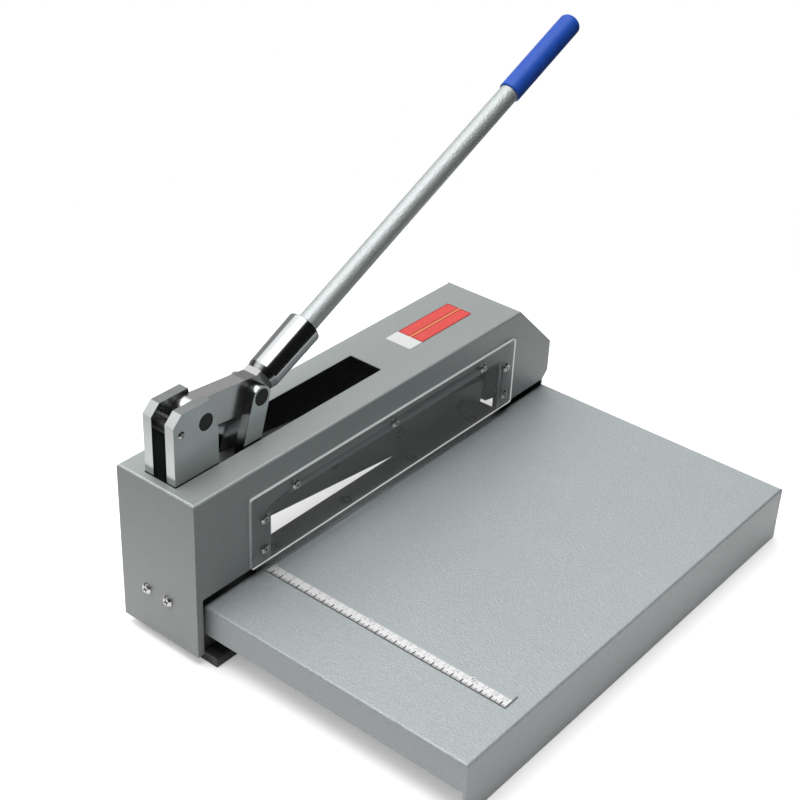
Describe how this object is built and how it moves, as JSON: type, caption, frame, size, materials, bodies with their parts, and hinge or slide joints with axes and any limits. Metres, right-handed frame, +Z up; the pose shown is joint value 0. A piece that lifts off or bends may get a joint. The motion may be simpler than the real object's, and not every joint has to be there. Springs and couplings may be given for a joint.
{
  "type": "bench lever shear",
  "caption": "Bench lever shear for thin sheet: covered raked blade, feed table with a rule, clear guard, and a long hand lever that swings the blade beam through links.",
  "frame": {"origin": "middle of the base plate's underside, straight under the shear line", "axes": "+X along the blades towards the blade pivot, +Y from the feed table to the back, +Z up"},
  "size_m": [0.5751, 0.3725, 0.4365],
  "materials": {
    "black_paint": "satin black enamel",
    "hammer_grey": "grey hammer-finish paint",
    "machined_steel": "dark oiled steel",
    "nickel": "satin nickel plate",
    "silver_paint": "pebbled silver paint",
    "blade_steel": "hardened tool steel, blued and ground",
    "black_steel": "black oxide",
    "zinc": "bright zinc plate",
    "chrome": "bright chrome plate",
    "rule_steel": "satin steel with etched marks",
    "acrylic": "clear acrylic with polished edges",
    "bronze": "plain bronze",
    "grip_rubber": "dipped blue vinyl"
  },
  "bodies": {
    "frame": {"base_plate": "black_paint", "bed": "machined_steel", "lower_blade": "blade_steel", "lower_blade_screws": "black_steel", "front_ear": "nickel", "rear_ear": "nickel", "ear_block": "machined_steel", "ear_stay": "black_steel", "ear_screws": "zinc", "front_cheek": "machined_steel", "rear_cheek": "machined_steel", "cheek_block": "machined_steel", "plate_bolts": "black_steel", "tie_bolts": "black_steel", "base_screws": "black_steel", "lever_pivot_pin": "black_steel", "blade_pivot_pin": "black_steel", "cover": "hammer_grey", "cover_screws": "zinc", "guard": "acrylic", "guard_screws": "zinc", "guard_nuts": "zinc", "table": "hammer_grey", "table_brackets": "machined_steel", "table_bolts": "black_steel", "rule": "rule_steel", "rule_rivets": "zinc"},
    "lever": {"lever_bar": "nickel", "lever_bush": "bronze", "socket": "chrome", "handle_tube": "silver_paint", "grip": "grip_rubber", "link_pin": "black_steel"},
    "links": {"front_link": "nickel", "rear_link": "nickel", "lower_link_pin": "black_steel"},
    "beam": {"blade_beam": "machined_steel", "beam_bush": "bronze", "upper_blade": "blade_steel", "upper_blade_screws": "black_steel"}
  },
  "joints": [
    {"name": "lever_hinge", "type": "hinge", "parent": "frame", "child": "lever", "pos_m": [-0.2083, 0.0155, 0.2176], "axis": [0, 1, 0], "range_deg": [-35, 24]},
    {"name": "link_hinge", "type": "hinge", "parent": "lever", "child": "links", "pos_m": [-0.14161, 0.0155, 0.21118], "axis": [0, 1, 0], "range_deg": [-20.7, 30.2]},
    {"name": "beam_hinge", "type": "hinge", "parent": "frame", "child": "beam", "pos_m": [0.227, 0.0155, 0.09], "axis": [0, 1, 0], "range_deg": [-3.8, 5.55]}
  ],
  "couplings": [
    {"joint": "link_hinge", "follows": "lever_hinge", "ratio": -0.86},
    {"joint": "beam_hinge", "follows": "lever_hinge", "ratio": -0.157}
  ]
}
